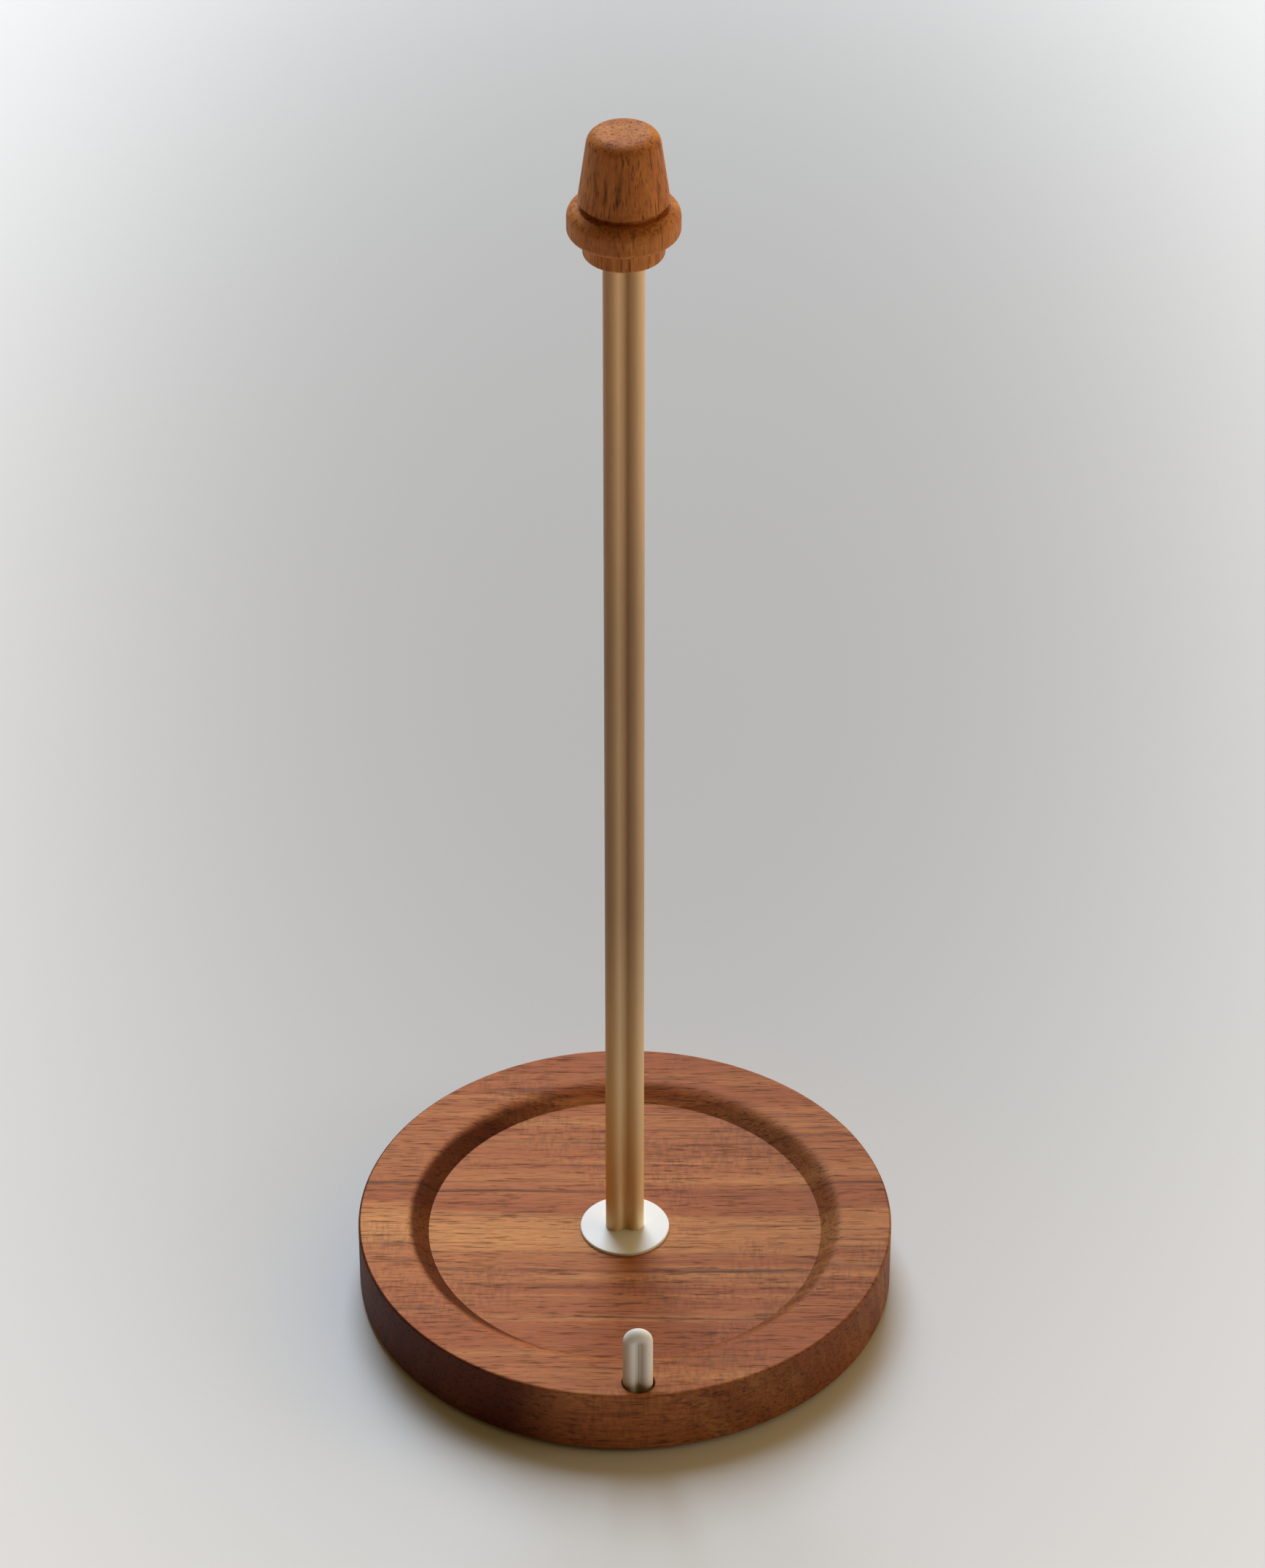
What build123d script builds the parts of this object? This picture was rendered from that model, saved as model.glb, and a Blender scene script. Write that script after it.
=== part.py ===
"""Paper towel holder: a dished hardwood base, a post of doubled wire, a turned knob and a loose stop peg.

The post and the peg are each one wire folded in two, with the seam between its legs brazed full.

Millimetres, +Z up. The origin is on the post's axis, on the surface that the holder stands on.
The stop peg is at the front, on -Y. Screw threads are plain cylinders at their nominal size.
"""

from math import radians, sin, sqrt, tan
import os

from build123d import *

os.makedirs("parts", exist_ok=True)

# Base: one turned disc with a dish routed into its top
base_radius = 73.0
base_thickness = 19.0
base_edge_radius = 0.8
dish_depth = 3.9
dish_floor_radius = 53.8
dish_wall_slope = 40.0
dish_lip_radius = 6.0

# Feet: bumpers set in shallow pockets
foot_radius = 6.0
foot_standing = 1.2
foot_set_in = 0.8
foot_rounding = 0.7
foot_circle_radius = 60.0

# Post: one wire folded in two, standing on a flange with a tapped boss under it
post_wire_radius = 2.6
post_braze_radius = 1.3
flange_radius = 12.15
flange_thickness = 0.9
flange_rounding = 0.3
boss_radius = 5.0
boss_length = 7.6
boss_clearance = 0.3

# Fasteners: M6
thread_radius = 3.0
thread_clearance = 0.05
clearance_hole_radius = 3.3
counterbore_radius = 9.5
counterbore_depth = 6.6
washer_radius = 9.0
washer_thickness = 1.6
spring_washer_radius = 5.9
spring_washer_inner_radius = 3.1
spring_washer_thickness = 1.6
spring_washer_gap = 0.9
screw_length = 10.0
screw_head_radius = 5.25
screw_head_height = 3.3
screw_head_flat_radius = 2.9
screw_key_size = 4.0
screw_key_depth = 2.1
stud_length = 16.0
stud_end_gap = 0.5
stud_key_size = 3.0
stud_key_depth = 3.0

# Knob: collar, ring, groove and tapered cone
overall_height = 358.9
knob_height = 33.4
collar_radius = 10.1
collar_height = 5.9
collar_rounding = 0.7
ring_radius = 13.95
ring_lower_rounding = 1.4
ring_side_height = 3.0
ring_shoulder_height = 3.1
ring_top_radius = 11.5
groove_radius = 9.9
groove_height = 1.0
cone_foot_rise = 0.7
cone_foot_radius = 11.25
cone_foot_rounding = 0.3
cone_top_radius = 8.7
cone_top_rounding = 3.4

# Joint between the post and the knob, hidden in the knob
sleeve_radius = 6.3
sleeve_set_in = 1.0
sleeve_grip = 6.0
sleeve_tapped_length = 8.0
sleeve_rounding = 0.5
sleeve_clearance = 0.3
insert_radius = 4.3
insert_length = 9.0
insert_bore_relief = 1.0

# Stop peg: a short hairpin of thinner wire, loose in its hole
peg_wire_radius = 2.0
peg_braze_radius = 1.0
peg_standing = 18.3
peg_circle_radius = 67.5
peg_hole_radius = 4.35
peg_hole_depth = 13.0
peg_hole_chamfer = 0.2
peg_side_play = 0.15

# Levels and places that follow from the sizes above
base_bottom = foot_standing
rim_level = base_bottom + base_thickness
floor_level = rim_level - dish_depth
dish_edge_radius = dish_floor_radius + dish_depth / tan(radians(dish_wall_slope))
counterbore_roof = base_bottom + counterbore_depth
flange_top = floor_level + flange_thickness
knob_bottom = overall_height - knob_height
sleeve_bottom = knob_bottom + sleeve_set_in
wire_top = sleeve_bottom + sleeve_grip
sleeve_top = wire_top + sleeve_tapped_length
stud_bottom = wire_top + stud_end_gap
screw_radius = thread_radius - thread_clearance
washer_bottom = counterbore_roof - washer_thickness
spring_washer_bottom = washer_bottom - spring_washer_thickness
peg_hole_floor = rim_level - peg_hole_depth


def save(builder, name):
    """Label a finished piece and write it to its own STEP file."""
    builder.part.label = name
    export_step(builder.part, f"parts/{name}.step")


def brazed_pair_points(wire_radius, braze_radius):
    """Where the braze, a hollow arc, leaves the right wire, and the depth of the arc's middle."""
    reach = wire_radius + braze_radius
    braze_centre = sqrt(reach**2 - wire_radius**2)
    leaving_x = braze_radius * wire_radius / reach
    leaving_y = braze_centre * wire_radius / reach
    return leaving_x, leaving_y, braze_centre - braze_radius


# Base
with BuildPart() as base:
    with BuildSketch(Plane.XZ) as base_section:
        with BuildLine():
            Polyline(
                (0, base_bottom),
                (base_radius, base_bottom),
                (base_radius, rim_level),
                (dish_edge_radius, rim_level),
                (dish_floor_radius, floor_level),
                (0, floor_level),
                close=True,
            )
        make_face()
        outer_corners = base_section.vertices().group_by(Axis.X)[-1]
        fillet(outer_corners, base_edge_radius)
        dish_lip = base_section.vertices().group_by(Axis.Y)[-1].sort_by(Axis.X)[0]
        fillet(dish_lip, dish_lip_radius)
    revolve(axis=Axis.Z)
    with Locations(Plane.XY.offset(floor_level)):
        Hole(boss_radius + boss_clearance)
    with BuildSketch(Plane.XY.offset(base_bottom)):
        Circle(counterbore_radius)
    extrude(amount=counterbore_depth, mode=Mode.SUBTRACT)
    with BuildSketch(Plane.XY.offset(base_bottom)):
        with PolarLocations(foot_circle_radius, 4, start_angle=45):
            Circle(foot_radius)
    extrude(amount=foot_set_in, mode=Mode.SUBTRACT)
    with BuildSketch(Plane.XY.offset(peg_hole_floor)):
        with Locations((0, -peg_circle_radius)):
            Circle(peg_hole_radius)
    extrude(amount=peg_hole_depth, mode=Mode.SUBTRACT)
    peg_hole_mouth = (
        base.edges()
        .filter_by(GeomType.CIRCLE)
        .filter_by(lambda edge: abs(edge.radius - peg_hole_radius) < peg_hole_chamfer / 10)
        .group_by(Axis.Z)[-1]
    )
    chamfer(peg_hole_mouth, peg_hole_chamfer)
save(base, "base")

# Feet
foot_names = ("foot_back_right", "foot_back_left", "foot_front_left", "foot_front_right")
foot_places = PolarLocations(foot_circle_radius, len(foot_names), start_angle=45).locations
for foot_name, foot_place in zip(foot_names, foot_places):
    with BuildPart() as foot:
        with BuildSketch():
            with Locations(foot_place.position):
                Circle(foot_radius)
        extrude(amount=foot_standing + foot_set_in)
        fillet(foot.edges().group_by(Axis.Z)[0], foot_rounding)
    save(foot, foot_name)

# Post flange
with BuildPart() as post_flange:
    with BuildSketch(Plane.XY.offset(floor_level)):
        Circle(flange_radius)
    extrude(amount=flange_thickness)
    fillet(post_flange.edges().group_by(Axis.Z)[-1], flange_rounding)
save(post_flange, "post_flange")

# Tapped boss, welded under the flange
with BuildPart() as flange_boss:
    with BuildSketch(Plane.XY.offset(floor_level)):
        Circle(boss_radius)
        Circle(thread_radius, mode=Mode.SUBTRACT)
    extrude(amount=-boss_length)
save(flange_boss, "flange_boss")

# Post wire: two touching legs, brazed along the seam
braze_x, braze_y, braze_depth = brazed_pair_points(post_wire_radius, post_braze_radius)
with BuildPart() as post_wire:
    with BuildSketch(Plane.XY.offset(flange_top)):
        with BuildLine():
            ThreePointArc((braze_x, -braze_y), (2 * post_wire_radius, 0), (braze_x, braze_y))
            ThreePointArc((braze_x, braze_y), (0, braze_depth), (-braze_x, braze_y))
            ThreePointArc((-braze_x, braze_y), (-2 * post_wire_radius, 0), (-braze_x, -braze_y))
            ThreePointArc((-braze_x, -braze_y), (0, -braze_depth), (braze_x, -braze_y))
        make_face()
    extrude(amount=wire_top - flange_top)
save(post_wire, "post_wire")

# Washers under the base
with BuildPart() as flat_washer:
    with BuildSketch(Plane.XY.offset(washer_bottom)):
        Circle(washer_radius)
        Circle(clearance_hole_radius, mode=Mode.SUBTRACT)
    extrude(amount=washer_thickness)
save(flat_washer, "flat_washer")

with BuildPart() as spring_washer:
    with BuildSketch(Plane.XY.offset(spring_washer_bottom)):
        Circle(spring_washer_radius)
        Circle(spring_washer_inner_radius, mode=Mode.SUBTRACT)
    extrude(amount=spring_washer_thickness)
    split_centre = (spring_washer_radius, 0, spring_washer_bottom + spring_washer_thickness / 2)
    with Locations(Location(split_centre, (30, 0, 0))):
        Box(spring_washer_radius, spring_washer_gap, 3 * spring_washer_thickness, mode=Mode.SUBTRACT)
save(spring_washer, "spring_washer")

# Base screw: button head, hexagon socket
head_bottom = spring_washer_bottom - screw_head_height
with BuildPart() as base_screw:
    with BuildSketch(Plane.XZ):
        with BuildLine():
            ThreePointArc(
                (screw_head_flat_radius, head_bottom),
                (screw_head_radius * sin(radians(55)), head_bottom + screw_head_height / 3),
                (screw_head_radius, spring_washer_bottom),
            )
            Polyline(
                (screw_head_radius, spring_washer_bottom),
                (0, spring_washer_bottom),
                (0, head_bottom),
                (screw_head_flat_radius, head_bottom),
            )
        make_face()
    revolve(axis=Axis.Z)
    with BuildSketch(Plane.XY.offset(spring_washer_bottom)):
        Circle(screw_radius)
    extrude(amount=screw_length)
    chamfer(base_screw.edges().group_by(Axis.Z)[-1], screw_radius / 6)
    with BuildSketch(Plane.XY.offset(head_bottom)):
        RegularPolygon(screw_key_size / 2, 6, major_radius=False)
    extrude(amount=screw_key_depth, mode=Mode.SUBTRACT)
save(base_screw, "base_screw")

# Knob: bored from below for the sleeve, the insert and the stud's tip
ring_bottom = knob_bottom + collar_height
shoulder_level = ring_bottom + ring_lower_rounding + ring_side_height
ring_top = shoulder_level + ring_shoulder_height
groove_top = ring_top + groove_height
insert_top = sleeve_top + insert_length
with BuildPart() as knob:
    with BuildSketch(Plane.XZ) as knob_section:
        with BuildLine():
            Polyline(
                (0, overall_height),
                (0, knob_bottom),
                (collar_radius, knob_bottom),
                (collar_radius, ring_bottom),
                (ring_radius, ring_bottom),
                (ring_radius, shoulder_level),
            )
            TangentArc((ring_radius, shoulder_level), (ring_top_radius, ring_top), tangent=(0, 1))
            Polyline(
                (ring_top_radius, ring_top),
                (groove_radius, ring_top),
                (groove_radius, groove_top),
                (cone_foot_radius, groove_top + cone_foot_rise),
                (cone_top_radius, overall_height),
                (0, overall_height),
            )
        make_face()
        ring_lower_corner = knob_section.vertices().group_by(Axis.X)[-1].sort_by(Axis.Y)[0]
        fillet(ring_lower_corner, ring_lower_rounding)
        underside_corner = knob_section.vertices().group_by(Axis.Y)[0].sort_by(Axis.X)[-1]
        fillet(underside_corner, collar_rounding)
        top_corner = knob_section.vertices().group_by(Axis.Y)[-1].sort_by(Axis.X)[-1]
        fillet(top_corner, cone_top_rounding)
        cone_corner = knob_section.vertices().sort_by_distance((cone_foot_radius, groove_top + cone_foot_rise))[0]
        fillet(cone_corner, cone_foot_rounding)
    revolve(axis=Axis.Z)
    with BuildSketch(Plane.XY.offset(knob_bottom)):
        Circle(sleeve_radius + sleeve_clearance)
    extrude(amount=sleeve_top - knob_bottom, mode=Mode.SUBTRACT)
    with BuildSketch(Plane.XY.offset(sleeve_top)):
        Circle(insert_radius)
    extrude(amount=insert_length, mode=Mode.SUBTRACT)
    with BuildSketch(Plane.XY.offset(insert_top)):
        Circle(thread_radius)
    extrude(amount=insert_bore_relief, mode=Mode.SUBTRACT)
save(knob, "knob")

# Threaded insert in the knob
with BuildPart() as knob_insert:
    with BuildSketch(Plane.XY.offset(sleeve_top)):
        Circle(insert_radius)
        Circle(thread_radius, mode=Mode.SUBTRACT)
    extrude(amount=insert_length)
save(knob_insert, "knob_insert")

# Sleeve on the top of the post: grips the folded wire below, tapped for the stud above
with BuildPart() as top_sleeve:
    with BuildSketch(Plane.XY.offset(sleeve_bottom)):
        Circle(sleeve_radius)
    extrude(amount=sleeve_top - sleeve_bottom)
    fillet(top_sleeve.edges().group_by(Axis.Z)[0], sleeve_rounding)
    with BuildSketch(Plane.XY.offset(sleeve_bottom)):
        Circle(2 * post_wire_radius)
    extrude(amount=sleeve_grip, mode=Mode.SUBTRACT)
    with Locations(Plane.XY.offset(sleeve_top)):
        Hole(thread_radius)
save(top_sleeve, "top_sleeve")

# Stud between the sleeve and the insert
with BuildPart() as knob_stud:
    with BuildSketch(Plane.XY.offset(stud_bottom)):
        Circle(screw_radius)
    extrude(amount=stud_length)
    chamfer(knob_stud.edges().group_by(Axis.Z)[0] + knob_stud.edges().group_by(Axis.Z)[-1], screw_radius / 6)
    with BuildSketch(Plane.XY.offset(stud_bottom)):
        RegularPolygon(stud_key_size / 2, 6, major_radius=False)
    extrude(amount=stud_key_depth, mode=Mode.SUBTRACT)
save(knob_stud, "knob_stud")

# Stop peg: two short legs brazed together, and the fold over the top
braze_x, braze_y, braze_depth = brazed_pair_points(peg_wire_radius, peg_braze_radius)
fold_level = rim_level + peg_standing - 2 * peg_wire_radius
peg_section_plane = Plane((-peg_side_play, -peg_circle_radius, fold_level))
fold_axis = Axis((-peg_side_play, -peg_circle_radius, fold_level), (0, 1, 0))
with BuildPart() as stop_peg:
    with BuildSketch(peg_section_plane) as leg_section:
        with BuildLine():
            Polyline((0, -braze_depth), (0, braze_depth))
            RadiusArc((0, braze_depth), (braze_x, braze_y), peg_braze_radius)
            ThreePointArc((braze_x, braze_y), (2 * peg_wire_radius, 0), (braze_x, -braze_y))
            RadiusArc((braze_x, -braze_y), (0, -braze_depth), peg_braze_radius)
        make_face()
    revolve(axis=fold_axis, revolution_arc=-180)
    with BuildSketch(peg_section_plane):
        add(leg_section.sketch_local)
        mirror(leg_section.sketch_local, about=Plane.YZ)
    extrude(amount=peg_hole_floor - fold_level)
save(stop_peg, "stop_peg")
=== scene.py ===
# %% [markdown]
# # A paper towel holder, finished in Blender
#
# The holder is a turned hardwood base with a shallow dish, a slim post made of one brass-coloured
# wire folded in two, a turned knob on top, and a short white hairpin at the rim that stops the
# roll from running on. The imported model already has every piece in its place, in metres. This
# lesson gives the pieces their finishes, cuts real threads on the two screws, and sets up a small
# studio around them.

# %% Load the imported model
from math import cos, degrees, pi, radians, sin, tau

import bpy
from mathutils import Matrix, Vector


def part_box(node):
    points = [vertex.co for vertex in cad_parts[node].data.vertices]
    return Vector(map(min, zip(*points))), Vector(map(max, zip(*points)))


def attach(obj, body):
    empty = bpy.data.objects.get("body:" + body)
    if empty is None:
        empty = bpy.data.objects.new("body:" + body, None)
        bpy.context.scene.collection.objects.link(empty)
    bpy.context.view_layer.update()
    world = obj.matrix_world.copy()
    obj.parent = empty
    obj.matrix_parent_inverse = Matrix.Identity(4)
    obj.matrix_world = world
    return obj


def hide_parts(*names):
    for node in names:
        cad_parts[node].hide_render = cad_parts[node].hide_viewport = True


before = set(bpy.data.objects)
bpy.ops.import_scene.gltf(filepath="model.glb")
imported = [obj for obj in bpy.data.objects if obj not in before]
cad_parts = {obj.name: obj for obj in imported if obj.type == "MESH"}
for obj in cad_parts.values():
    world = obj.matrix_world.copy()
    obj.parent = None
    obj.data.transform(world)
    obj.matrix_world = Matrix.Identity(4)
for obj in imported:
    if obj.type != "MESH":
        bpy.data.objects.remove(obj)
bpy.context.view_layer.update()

# %% [markdown]
# ## The camera, and the way round
#
# The stop peg is at the front, on -Y. The camera stands a few degrees to the left of that and well
# above, and a long lens keeps the post's two sides nearly parallel. Placing it by its distance, its
# height and the angle it has gone round keeps each of these a number that can be changed by itself.
# The lights are placed the same way, so they keep their bearing when the camera goes round.

# %% Camera
MM = 0.001
TURN = radians(-3.1)
CAMERA_DISTANCE = 1.1736
CAMERA_HEIGHT = 1.0196
CAMERA_ASIDE = 0.0021
CAMERA_TILT = radians(53.99)
LENS_MM = 128.8
TO_RIGHT = (cos(TURN), sin(TURN), 0)
UP = (0, 0, 1)


def round_the_post(aside, ahead, height):
    """A place given from the camera's side of the post: to its right, beyond the post, and up."""
    x = aside * cos(TURN) - ahead * sin(TURN)
    y = aside * sin(TURN) + ahead * cos(TURN)
    return Vector((x, y, height))


camera = bpy.data.objects.new("camera", bpy.data.cameras.new("camera"))
bpy.context.collection.objects.link(camera)
camera.data.lens = LENS_MM
camera.data.clip_start = 0.05
camera.location = round_the_post(CAMERA_ASIDE, -CAMERA_DISTANCE, CAMERA_HEIGHT)
camera.rotation_euler = (CAMERA_TILT, 0, TURN)
bpy.context.scene.camera = camera
print("camera looks down at", round(90 - degrees(CAMERA_TILT), 1), "degrees")

# %% [markdown]
# ## Shader maths as sums
#
# A finish is easier to read as a formula than as a picture of nodes. `Signal` wraps one socket,
# and each operator on it adds the Math node for that sum. `Nodes` owns a node tree, and its one
# method `node` adds any other node. A `Finish` is the node tree of a material. Its own signals are
# the place on the piece, the way that the surface faces, and smooth noise.

# %% Signals
class Signal:
    """A number that varies over a surface. Each operator on it adds a Math node."""

    def __init__(self, nodes, socket):
        self.nodes = nodes
        self.socket = socket

    def __add__(self, other):
        return self.nodes.math("ADD", self, other)

    def __sub__(self, other):
        return self.nodes.math("SUBTRACT", self, other)

    def __mul__(self, other):
        return self.nodes.math("MULTIPLY", self, other)

    def __truediv__(self, other):
        return self.nodes.math("DIVIDE", self, other)

    def __pow__(self, other):
        return self.nodes.math("POWER", self, other)

    def __rsub__(self, other):
        return self.nodes.math("SUBTRACT", other, self)

    def __abs__(self):
        return self.nodes.math("ABSOLUTE", self)

    __radd__ = __add__
    __rmul__ = __mul__


# %% Nodes and finishes
def rgb(red, green, blue):
    return (red, green, blue, 1)


class Nodes:
    """A node tree, and short ways to add to it."""

    def __init__(self, tree):
        self.tree = tree

    def feed(self, socket, value):
        """Link a signal to a socket, or set a plain value on it."""
        if isinstance(value, Signal):
            self.tree.links.new(value.socket, socket)
        else:
            socket.default_value = value

    def node(self, kind, settings, inputs, output=0):
        """Add a node of that kind, with its settings first and then its sockets."""
        made = self.tree.nodes.new("ShaderNode" + kind)
        for name, value in settings.items():
            setattr(made, name, value)
        for key, value in inputs.items():
            self.feed(made.inputs[key], value)
        return Signal(self, made.outputs[output])

    def math(self, operation, *values):
        return self.node("Math", {"operation": operation}, dict(enumerate(values)))

    def step(self, value, low, high, out_low=0.0, out_high=1.0):
        """A soft step: out_low below low, out_high above high, and smooth between."""
        settings = {"interpolation_type": "SMOOTHSTEP"}
        return self.node("MapRange", settings, {0: value, 1: low, 2: high, 3: out_low, 4: out_high})

    def tint(self, amount, below, above, mode="MIX"):
        """One colour laid over another by an amount."""
        settings = {"data_type": "RGBA", "blend_type": mode}
        return self.node("Mix", settings, {0: amount, 6: below, 7: above}, 2)

    def grey(self, value):
        return self.node("CombineColor", {}, {0: value, 1: value, 2: value})


class Finish(Nodes):
    """A surface material, named for the piece that it goes on."""

    def __init__(self, name):
        self.material = bpy.data.materials.new(name)
        self.material.use_nodes = True
        super().__init__(self.material.node_tree)
        self.shader = self.tree.nodes["Principled BSDF"]

    def place(self, turn=(0, 0, 0)):
        """The point on the piece as three signals in millimetres, turned with the grain."""
        here = self.node("TexCoord", {}, {}, "Object")
        turned = self.node("Mapping", {}, {"Vector": here, "Rotation": turn, "Scale": (1000, 1000, 1000)})
        return [self.node("SeparateXYZ", {}, {0: turned}, axis) for axis in range(3)]

    def facing(self, direction):
        """How far the smooth surface faces a direction: 1 straight at it, -1 away from it."""
        outward = self.node("TexCoord", {}, {}, "Normal")
        return self.node("VectorMath", {"operation": "DOT_PRODUCT"}, {0: outward, 1: direction}, "Value")

    def noise(self, x, y, z, detail=0.0, rough=0.5):
        """Smooth noise about 0.5, at a place whose axes are each already scaled."""
        where = self.node("CombineXYZ", {}, {0: x, 1: y, 2: z})
        settings = {"Vector": where, "Scale": 1.0, "Detail": detail, "Roughness": rough}
        return self.node("TexNoise", {}, settings)

    def bump(self, height, strength, distance):
        return self.node("Bump", {}, {"Height": height, "Strength": strength, "Distance": distance})

    def set(self, **values):
        """Set or link the surface shader's sockets."""
        for name, value in values.items():
            self.feed(self.shader.inputs[name.replace("_", " ")], value)


def give(finish, *names):
    """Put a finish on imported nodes."""
    for name in names:
        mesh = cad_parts[name].data
        mesh.materials.clear()
        mesh.materials.append(finish.material)
    print(finish.material.name, "is on", ", ".join(names))


# %% [markdown]
# ## Hardwood
#
# The base is cut from one plank and the knob is turned from another. Wood is a solid, so its figure
# is worked out in three dimensions and not painted on: the same plank runs from the rim down into
# the dish and round the side. The figure is built up as a finisher would describe it: broad bands
# of heartwood colour, thin dark growth lines, soft streaks, short dark pores, and patches of ripple
# across the grain where a plane has chattered. Oil soaks into end grain, so the walls that cut
# across the fibres are darker. Two things here are shading and not figure: the left end's walls are
# made darker than the right end's, and the plank is a little paler to the left. They are painted
# in, because the lights alone leave the base too even, so they stay put under any other light.

# %% The hardwood's colours and its bands
GOLD = rgb(0.560, 0.240, 0.086)
TAN = rgb(0.430, 0.152, 0.057)
RUSSET = rgb(0.345, 0.100, 0.036)
UMBER = rgb(0.080, 0.027, 0.014)
# End grain is darker, and painted shade makes the left end's walls darker still than the right end's.
END_GRAIN_AND_SHADE_LEFT = rgb(0.21, 0.12, 0.06)
END_GRAIN_AND_SHADE_RIGHT = rgb(0.66, 0.66, 0.62)
GRAIN_WANDER_MM = 6.0
GOLD_BAND_MM = 9.0
GROWTH_LINES_MM = (
    (41.0, 0.50), (18.5, 0.75), (8.5, 0.30), (-7.0, 0.35), (-14.0, 0.85), (-33.0, 0.60), (-52.0, 0.40),
)
print("the plank has", len(GROWTH_LINES_MM), "growth lines, each with its place and its depth")


def plank_bands(wood, along, ring, up):
    """Broad colour from the heart of the plank outwards, and the growth lines between the bands."""
    broad = wood.noise(along / 260, ring / 12, up / 60, 2)
    colour = wood.tint(wood.step(broad, 0.36, 0.62), TAN, RUSSET)
    heart = wood.step(abs(ring), 0.35 * GOLD_BAND_MM, 1.25 * GOLD_BAND_MM, 1.0, 0.0)
    left_end = wood.step(along, -40, 50, 1.0, 0.45)
    colour = wood.tint(heart * left_end * 0.85, colour, GOLD)
    pale = wood.noise(along / 130, ring / 5.0, up / 20, 2)
    colour = wood.tint(wood.step(pale, 0.52, 0.72) * 0.5, colour, GOLD)
    waver = wood.noise(along / 30, ring / 4, up / 9, 1)
    for place, depth in GROWTH_LINES_MM:
        line = wood.step(abs(ring - place + (waver - 0.5) * 2.2), 0.15, 0.95, 1.0, 0.0)
        colour = wood.tint(line * wood.step(waver, 0.30, 0.62, 1.0, 0.35) * depth, colour, UMBER)
    return colour


# %% A hardwood finish
STREAK_DEPTH = 0.58
PORE_DEPTH = 0.66
RIPPLE_DEPTH = 0.22


def hardwood(name, turn, shift, cast, end_grain_and_shade):
    """A finish whose grain runs along the turned X axis, with its heart shifted across."""
    wood = Finish(name)
    along, across, up = wood.place(turn)
    across = across + shift
    wander = wood.noise(along / 95, across / 50, up / 50, 1) - 0.5
    ring = across + wander * GRAIN_WANDER_MM + up * 0.25
    colour = plank_bands(wood, along, ring, up)
    streak = wood.noise(along / 48, ring * 0.8, up * 0.8, 2, 0.6)
    colour = wood.tint(wood.step(streak, 0.50, 0.74) * STREAK_DEPTH, colour, UMBER)
    pore = wood.noise(along / 7.0, across * 1.5, up * 1.5, 2, 0.6)
    pores = wood.step(pore, 0.54, 0.68) * wood.step(streak, 0.30, 0.55, 0.5, 1.0)
    colour = wood.tint(pores * PORE_DEPTH, colour, UMBER)
    chatter = wood.noise(along * 0.95, across / 3.5, up / 3.5, 1)
    patch = wood.noise(along / 40, across / 22, up / 22, 1)
    ripple = wood.step(chatter, 0.44, 0.62) * wood.step(patch, 0.50, 0.62)
    colour = wood.tint(ripple * RIPPLE_DEPTH, colour, UMBER)
    fibre = wood.noise(along / 6.0, across * 1.9, up * 1.9, 3, 0.7)
    # The step along the plank is painted light: paler towards the left end, darker towards the right.
    shade = (0.42 + fibre * 1.16) * wood.step(along, -70, 70, 1.08, 0.90)
    colour = wood.tint(1.0, colour, wood.grey(shade), "MULTIPLY")
    colour = wood.tint(1.0, colour, cast, "MULTIPLY")
    # Walls across the fibres: darker end grain, plus painted shade that is deeper at the left end.
    across_fibres = abs(wood.facing(TO_RIGHT))
    end_grain_and_shade_colour = wood.tint(wood.step(along, -30, 30), END_GRAIN_AND_SHADE_LEFT, END_GRAIN_AND_SHADE_RIGHT)
    colour = wood.tint(wood.step(across_fibres, 0.10, 0.45) * end_grain_and_shade, colour, end_grain_and_shade_colour, "MULTIPLY")
    relief = fibre * 0.5 - pores
    wood.set(Base_Color=colour, Roughness=0.58 + pores * 0.12 + (fibre - 0.5) * 0.10)
    wood.set(Normal=wood.bump(relief, 0.6, 0.06 * MM), Specular_IOR_Level=0.12)
    return wood


give(hardwood("oiled_base_wood", (0, 0, -TURN), 0.0, rgb(1.02, 1.04, 0.98), 1.0), "base")
give(hardwood("oiled_knob_wood", (0, pi / 2, 0), 60.0, rgb(1.30, 1.36, 0.90), 0.0), "knob")

# %% [markdown]
# ## Satin wire
#
# The post is drawn wire with a satin champagne-brass finish, and drawing leaves marks along it. The
# lights alone leave its two legs too even, so some of the shading is painted into the colour: deeper
# on the left flank of each leg, and paler near the foot and the head. It isn't a feature of the
# finish, and it stays put under any other light. The shader has only a little metal in it, so that
# this colour shows.

# %% Post wire
# Painted shade and light: each leg's left flank is darker than its right, and near the foot both are paler.
WIRE_SHADED_FLANK = rgb(0.235, 0.105, 0.025)
WIRE_LIT_FLANK = rgb(0.52, 0.33, 0.17)
LIT_FOOT_SHADED_FLANK = rgb(0.64, 0.36, 0.10)
LIT_FOOT_LIT_FLANK = rgb(0.96, 0.78, 0.48)


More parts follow.
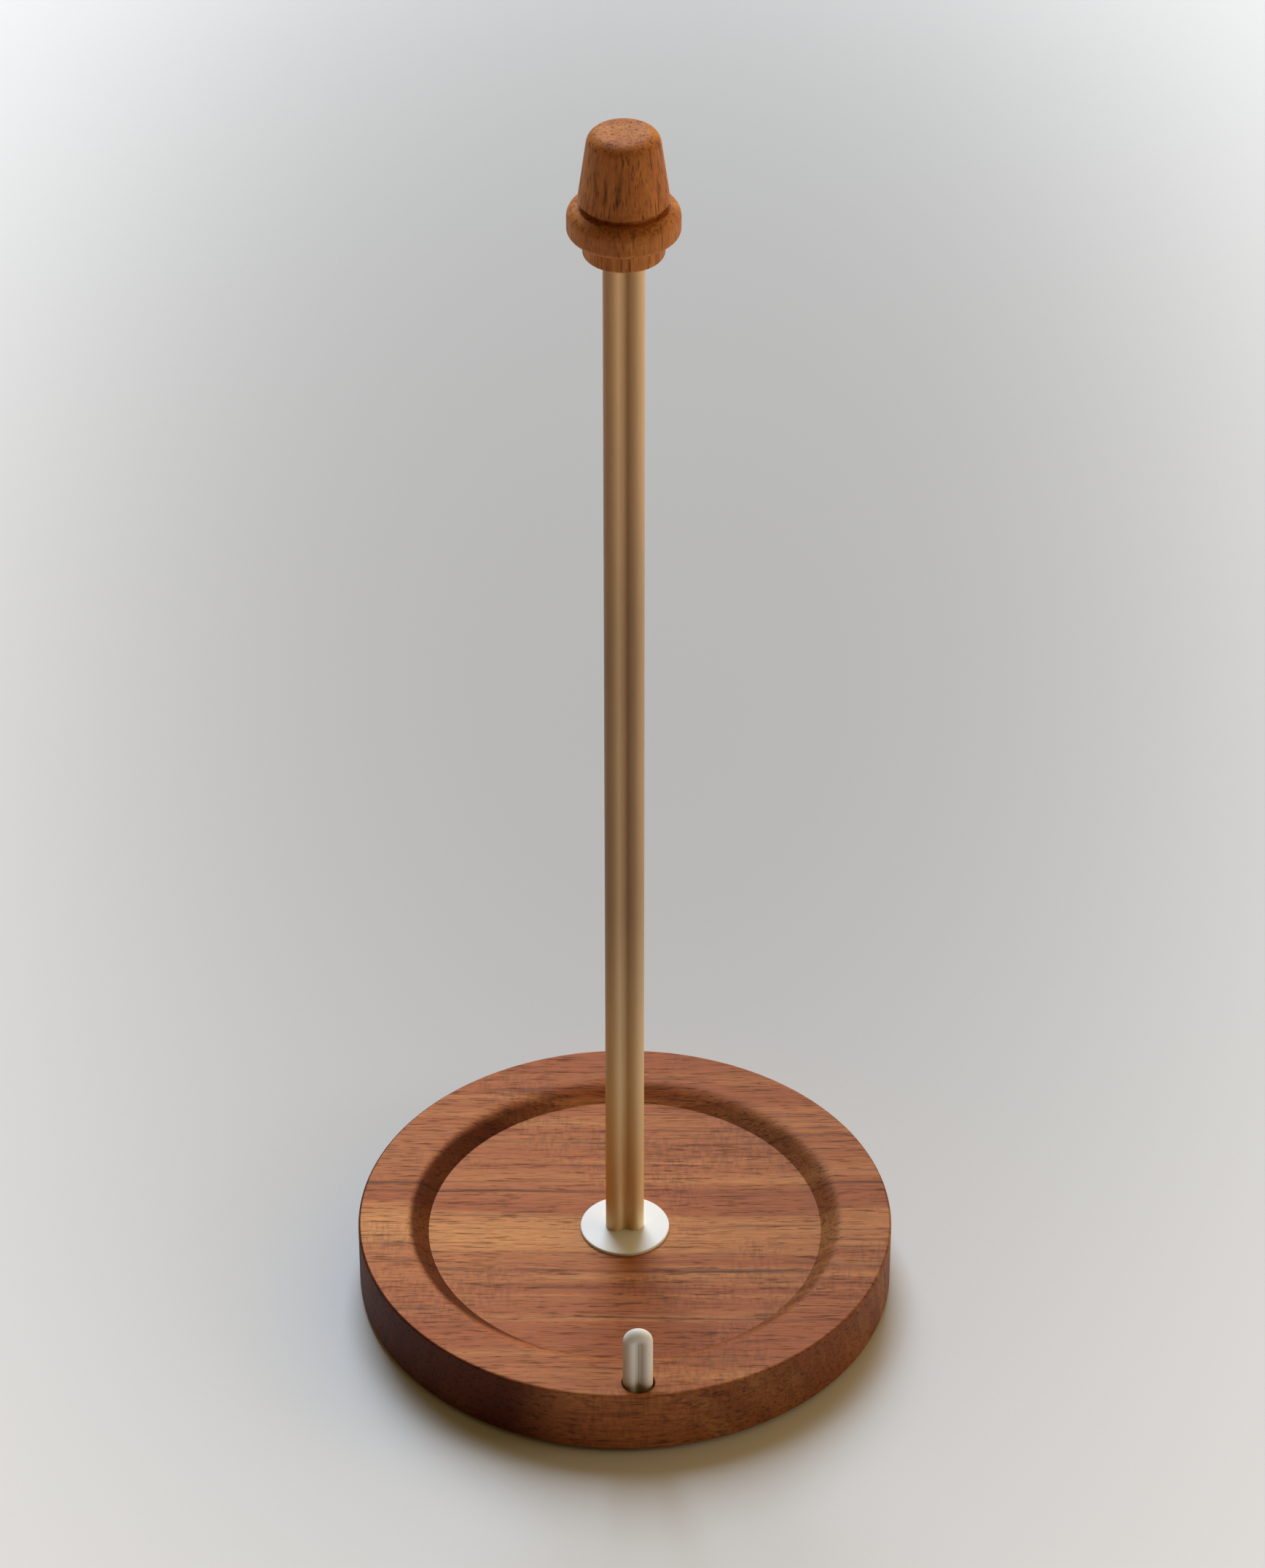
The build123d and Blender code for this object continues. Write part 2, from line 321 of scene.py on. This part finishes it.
def wire_finish(name):
    """Colour goes by flank and by height, as painted shade and light, with faint clouds and drawing marks.
    """
    metal = Finish(name)
    x, y, z = metal.place()
    drawn = metal.noise(x * 5, y * 5, z / 14, 2, 0.6)
    cloud = metal.noise(x / 6, y / 6, z / 30, 2)
    flank = metal.step(metal.facing(TO_RIGHT), -0.75, 0.75)
    colour = metal.tint(flank, WIRE_SHADED_FLANK, WIRE_LIT_FLANK)
    colour = metal.tint(metal.step(z, 25, 140, 1.0, 0.0), colour, metal.tint(flank, LIT_FOOT_SHADED_FLANK, LIT_FOOT_LIT_FLANK))
    # Painted light: paler towards the head.
    head = metal.step(z, 200, 320, 0.95, 1.4)
    colour = metal.tint(1.0, colour, metal.grey(head * (0.88 + cloud * 0.24)), "MULTIPLY")
    metal.set(Base_Color=colour, Metallic=0.3, Roughness=0.44 + (drawn - 0.5) * 0.16)
    metal.set(Normal=metal.bump(drawn, 0.25, 0.02 * MM))
    return metal


give(wire_finish("satin_champagne_wire"), "post_wire")

# %% [markdown]
# ## White enamel
#
# The flange and the stop peg are metal under a thick satin white enamel. Enamel pools and thins a little,
# so its roughness and its height drift slowly, and light goes a short way into it. The peg has painted
# shading like the post's: a warmer, deeper colour on the left flank of each leg. This shading is kept off
# its top, which stays full white.

# %% Enamel
FLANGE_WHITE = rgb(0.81, 0.82, 0.81)
PEG_WHITE = rgb(0.83, 0.82, 0.80)
PEG_SHADED = rgb(0.52, 0.40, 0.28)
SPECK = rgb(0.60, 0.54, 0.46)


def enamel(name, full, shaded):
    """White enamel, with painted shade on left flanks and its full white, kept as painted light, on top."""
    white = Finish(name)
    x, y, z = white.place()
    pooled = white.noise(x / 3, y / 3, z / 3, 2)
    speck = white.noise(x * 2.4, y * 2.4, z * 2.4, 1)
    # Painted shade: darker on the left flank of each leg, and kept off the top, which stays full white.
    colour = white.tint(white.step(white.facing(TO_RIGHT), -0.75, 0.6), shaded, full)
    colour = white.tint(white.step(white.facing(UP), 0.0, 0.6), colour, full)
    colour = white.tint(white.step(speck, 0.60, 0.80) * 0.12, colour, SPECK)
    white.set(Base_Color=colour, Roughness=0.30 + pooled * 0.16)
    white.set(Normal=white.bump(pooled, 0.15, 0.05 * MM))
    white.set(Subsurface_Weight=0.3, Subsurface_Radius=(1.0, 0.8, 0.6), Subsurface_Scale=1 * MM)
    white.set(Specular_IOR_Level=0.12)
    return white


give(enamel("white_flange_enamel", FLANGE_WHITE, FLANGE_WHITE), "post_flange")
give(enamel("white_peg_enamel", PEG_WHITE, PEG_SHADED), "stop_peg")

# %% [markdown]
# ## Plated steel, turned brass and rubber
#
# The hidden hardware is bright zinc-plated steel, and the insert is brass as it left the lathe, with
# fine marks that run round it. Zinc shows as a mottle of slightly different greys. The feet
# are moulded rubber, matt, with a little dust in the pores.

# %% Hardware finishes
def plated_steel(name):
    steel = Finish(name)
    x, y, z = steel.place()
    spangle = steel.noise(x * 1.2, y * 1.2, z * 1.2, 3, 0.7)
    colour = steel.tint(spangle, rgb(0.42, 0.43, 0.43), rgb(0.66, 0.66, 0.63))
    steel.set(Base_Color=colour, Metallic=1.0, Roughness=0.26 + spangle * 0.2)
    steel.set(Normal=steel.bump(spangle, 0.2, 0.02 * MM))
    return steel


def turned_brass(name):
    brass = Finish(name)
    x, y, z = brass.place()
    lathe = brass.noise(x / 20, y / 20, z * 7, 2, 0.7)
    colour = brass.tint(lathe, rgb(0.66, 0.46, 0.20), rgb(0.80, 0.60, 0.30))
    brass.set(Base_Color=colour, Metallic=1.0, Roughness=0.22 + lathe * 0.16)
    brass.set(Normal=brass.bump(lathe, 0.4, 0.03 * MM))
    return brass


def moulded_rubber(name):
    rubber = Finish(name)
    x, y, z = rubber.place()
    pore = rubber.noise(x * 3, y * 3, z * 3, 2, 0.6)
    dust = rubber.step(pore, 0.5, 0.75) * 0.5
    rubber.set(Base_Color=rubber.tint(dust, rgb(0.018, 0.018, 0.019), rgb(0.06, 0.056, 0.05)))
    rubber.set(Roughness=0.62 + pore * 0.2, Normal=rubber.bump(pore, 0.5, 0.04 * MM))
    return rubber


zinc = plated_steel("zinc_plated_steel")
give(zinc, "flange_boss", "top_sleeve", "flat_washer", "spring_washer")
give(turned_brass("turned_brass"), "knob_insert")
give(moulded_rubber("moulded_foot_rubber"), *[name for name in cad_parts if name.startswith("foot_")])

# %% [markdown]
# ## Real threads
#
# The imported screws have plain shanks, which is all that moving and fitting need. Here each is
# rebuilt as a stack of rings: a ring is a closed loop of points round the axis at one height, and
# the skin between rings makes the surface. A thread is then only a rule for the radius: it rises
# and falls with the height, and the place where it does so goes round once for each pitch. A
# hexagon socket is the same idea, with a radius that follows six flats.

# %% Rings and threads
PITCH = 1.0 * MM
THREAD_DEPTH = 0.61 * MM
ROOT_WIDTH = 1.5
FLANK_SLOPE = 2.2
RING_POINTS = 72
RINGS_A_TURN = 10


def flat_ring(radius, height):
    return [(radius * cos(tau * i / RING_POINTS), radius * sin(tau * i / RING_POINTS), height)
            for i in range(RING_POINTS)]


def hexagon_ring(across_flats, height):
    """Six flats: the radius grows from the middle of each flat to its corner."""
    points = []
    for i in range(RING_POINTS):
        angle = tau * i / RING_POINTS
        from_flat = (angle + pi / 6) % (pi / 3) - pi / 6
        radius = across_flats / 2 / cos(from_flat)
        points.append((radius * cos(angle), radius * sin(angle), height))
    return points


def thread_rings(radius, bottom, top):
    """Rings of a right-hand thread that fades out over the first and last half pitch."""
    count = round((top - bottom) / PITCH * RINGS_A_TURN)
    rings = []
    for ring in range(count + 1):
        height = bottom + (top - bottom) * ring / count
        fade = min(1.0, (height - bottom) / (PITCH / 2), (top - height) / (PITCH / 2))
        points = []
        for i in range(RING_POINTS):
            phase = (height / PITCH - i / RING_POINTS) % 1
            groove = min(1.0, max(0.0, ROOT_WIDTH - abs(2 * phase - 1) * FLANK_SLOPE))
            here = radius - THREAD_DEPTH * groove * fade
            points.append((here * cos(tau * i / RING_POINTS), here * sin(tau * i / RING_POINTS), height))
        rings.append(points)
    return rings


def skin(name, rings, finish, body, node):
    """Join the rings, close both ends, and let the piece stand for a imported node."""
    points = [point for ring in rings for point in ring]
    faces = []
    for ring in range(len(rings) - 1):
        for i in range(RING_POINTS):
            a = ring * RING_POINTS + i
            b = ring * RING_POINTS + (i + 1) % RING_POINTS
            faces.append((a, b, b + RING_POINTS, a + RING_POINTS))
    faces.append(tuple(reversed(range(RING_POINTS))))
    faces.append(tuple(range(len(points) - RING_POINTS, len(points))))
    mesh = bpy.data.meshes.new(name)
    mesh.from_pydata(points, [], faces)
    mesh.polygons.foreach_set("use_smooth", [len(face) == 4 for face in faces])
    mesh.set_sharp_from_angle(angle=radians(40))
    mesh.materials.append(finish.material)
    piece = bpy.data.objects.new(name, mesh)
    bpy.context.collection.objects.link(piece)
    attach(piece, body)
    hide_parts(node)
    print(name, "has", len(rings), "rings and stands for", node)


# %% [markdown]
# ## The base screw and the knob's stud
#
# The screw is a button head with a hexagon socket, driven from under the base. The stud has no
# head: it is a short threaded rod with a socket in its lower end. Each starts at the bottom of its
# socket, comes out over the end or the head, and goes up the thread.

# %% Base screw
screw_low, screw_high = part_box("base_screw")
HEAD_RADIUS = (screw_high[0] - screw_low[0]) / 2
HEAD_HEIGHT = 3.3 * MM
HEAD_FLAT_RADIUS = 2.9 * MM
HEAD_KEY = 4.0 * MM
HEAD_KEY_DEPTH = 2.1 * MM
SHANK_RADIUS = 2.95 * MM
SHANK_CHAMFER = 0.5 * MM
DOME_RINGS = 8

screw_rings = [hexagon_ring(HEAD_KEY * 0.02, screw_low[2] + HEAD_KEY_DEPTH)]
screw_rings.append(hexagon_ring(HEAD_KEY, screw_low[2] + HEAD_KEY_DEPTH))
screw_rings.append(hexagon_ring(HEAD_KEY, screw_low[2] + 0.15 * MM))
screw_rings.append(hexagon_ring(HEAD_KEY * 1.08, screw_low[2]))
for turn in range(DOME_RINGS + 1):
    angle = pi / 2 * turn / DOME_RINGS
    radius = HEAD_FLAT_RADIUS + (HEAD_RADIUS - HEAD_FLAT_RADIUS) * sin(angle)
    screw_rings.append(flat_ring(radius, screw_low[2] + HEAD_HEIGHT * (1 - cos(angle)) * 0.95))
screw_rings.append(flat_ring(HEAD_RADIUS, screw_low[2] + HEAD_HEIGHT))
screw_rings.append(flat_ring(SHANK_RADIUS, screw_low[2] + HEAD_HEIGHT))
screw_rings += thread_rings(SHANK_RADIUS, screw_low[2] + HEAD_HEIGHT + PITCH, screw_high[2] - SHANK_CHAMFER)
screw_rings.append(flat_ring(SHANK_RADIUS - SHANK_CHAMFER, screw_high[2]))
skin("threaded_base_screw", screw_rings, zinc, "stand", "base_screw")

# %% Knob stud
stud_low, stud_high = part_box("knob_stud")
STUD_KEY = 3.0 * MM
STUD_KEY_DEPTH = 3.0 * MM

stud_rings = [hexagon_ring(STUD_KEY * 0.02, stud_low[2] + STUD_KEY_DEPTH)]
stud_rings.append(hexagon_ring(STUD_KEY, stud_low[2] + STUD_KEY_DEPTH))
stud_rings.append(hexagon_ring(STUD_KEY, stud_low[2]))
stud_rings.append(flat_ring(SHANK_RADIUS - SHANK_CHAMFER, stud_low[2]))
stud_rings += thread_rings(SHANK_RADIUS, stud_low[2] + SHANK_CHAMFER, stud_high[2] - SHANK_CHAMFER)
stud_rings.append(flat_ring(SHANK_RADIUS - SHANK_CHAMFER, stud_high[2]))
skin("threaded_knob_stud", stud_rings, zinc, "knob_stud", "knob_stud")

# %% [markdown]
# ## The studio floor
#
# The floor is one large pale sheet. A long pool beyond the holder is darker: this is painted shade, because
# one softbox alone would light it evenly. Far out the floor fades into the room for the camera only, so
# that no view shows an edge, and the light that it throws back stays.

# %% Floor
FLOOR_HALF = 6.0
POOL_ASIDE_MM = 9.0
POOL_AHEAD_MM = 411.0
POOL_HALF_WIDTH_MM = 244.0
POOL_HALF_LENGTH_MM = 571.0
POOL_EDGE = 1.56
FLOOR_DARK = 0.475
FLOOR_PALE = 0.93
FADE_STARTS_MM = 1500
FADE_ENDS_MM = 2600

floor_mesh = bpy.data.meshes.new("floor")
corners = ((-1, -1), (1, -1), (1, 1), (-1, 1))
floor_mesh.from_pydata([(x * FLOOR_HALF, y * FLOOR_HALF, 0) for x, y in corners], [], [(0, 1, 2, 3)])
floor = bpy.data.objects.new("floor", floor_mesh)
bpy.context.collection.objects.link(floor)
paint = Finish("pale_floor")
aside, ahead, above = paint.place((0, 0, -TURN))
reach_across = (aside - POOL_ASIDE_MM) / POOL_HALF_WIDTH_MM
reach_ahead = (ahead - POOL_AHEAD_MM) / POOL_HALF_LENGTH_MM
# Painted shade: a soft darker pool beyond the holder.
shade_pool = paint.math("EXPONENT", 0 - (reach_across ** 2 + reach_ahead ** 2) ** POOL_EDGE)
tooth = paint.noise(aside * 0.9, ahead * 0.9, above, 2, 0.6) - 0.5
paint.set(Base_Color=paint.grey(FLOOR_PALE - shade_pool * (FLOOR_PALE - FLOOR_DARK) + tooth * 0.02))
paint.set(Roughness=0.85, Specular_IOR_Level=0.1)
far = paint.step((aside ** 2 + ahead ** 2) ** 0.5, FADE_STARTS_MM, FADE_ENDS_MM)
paint.set(Alpha=1 - far * paint.node("LightPath", {}, {}, "Is Camera Ray"))
floor_mesh.materials.append(paint.material)
print("floor is", 2 * FLOOR_HALF, "m across and fades from", FADE_STARTS_MM, "mm out")

# %% [markdown]
# ## Light
#
# One tall softbox stands beyond the post and above it, so every shadow falls towards the camera and
# the near side of each piece is in shade. A weak one, low on the right, draws the right edge of the
# knob and of the base. The rest of the light is a warm room, dimmer overhead and towards the camera
# and brighter to the right, so that each rounded piece has a dark side and a bright side.

# %% Softbox
TARGET = Vector((0, 0, 0.1))


def softbox(name, azimuth, elevation, distance, width, height, shade, power):
    """A rectangular lamp. Azimuth 0 is beyond the post, seen from the camera."""
    lamp = bpy.data.lights.new(name, "AREA")
    lamp.shape = "RECTANGLE"
    lamp.size = width
    lamp.size_y = height
    lamp.color = shade
    lamp.energy = power
    stand = bpy.data.objects.new(name, lamp)
    bpy.context.collection.objects.link(stand)
    aside = distance * cos(radians(elevation)) * sin(radians(azimuth))
    ahead = distance * cos(radians(elevation)) * cos(radians(azimuth))
    stand.location = round_the_post(aside, ahead, distance * sin(radians(elevation)))
    stand.rotation_euler = (TARGET - stand.location).to_track_quat("-Z", "Y").to_euler()
    stand.visible_camera = False
    print(name, "stands", distance, "m away at", elevation, "degrees")


softbox("key", -7, 49, 4.0, 1.9, 3.0, (0.72, 0.845, 1.0), 178)
softbox("side", 95, 14, 3.0, 1.0, 1.4, (1.0, 0.90, 0.75), 15)

# %% The room
ROOM_WARMTH = rgb(0.48, 0.32, 0.12)
ROOM_SEEN = rgb(0.72, 0.72, 0.71)
room = bpy.data.worlds.new("room")
bpy.context.scene.world = room
room.use_nodes = True
walls = Nodes(room.node_tree)
looking = walls.node("TexCoord", {}, {}, "Generated")


def towards(direction):
    """How far a ray looks in a direction: 1 straight along it, -1 straight away."""
    return walls.node("VectorMath", {"operation": "DOT_PRODUCT"}, {0: looking, 1: direction}, "Value")


from_the_right = walls.step(towards(round_the_post(1, 0, 0)), -0.9, 0.9, 0.45, 1.75)
from_beyond = walls.step(towards(round_the_post(0, 1, 0)), -0.9, 0.5, 0.2, 1.35)
from_above = walls.step(towards(UP), 0.4, 1.0, 1.0, 0.4)
bright = from_the_right * from_beyond * from_above
warm = walls.tint(1.0, ROOM_WARMTH, walls.grey(bright), "MULTIPLY")
is_seen = walls.node("LightPath", {}, {}, "Is Camera Ray")
walls.feed(room.node_tree.nodes["Background"].inputs["Color"], walls.tint(is_seen, warm, ROOM_SEEN))
bpy.context.scene.view_settings.view_transform = "Standard"
print("the room is", ROOM_WARMTH[:3], "at its plainest")
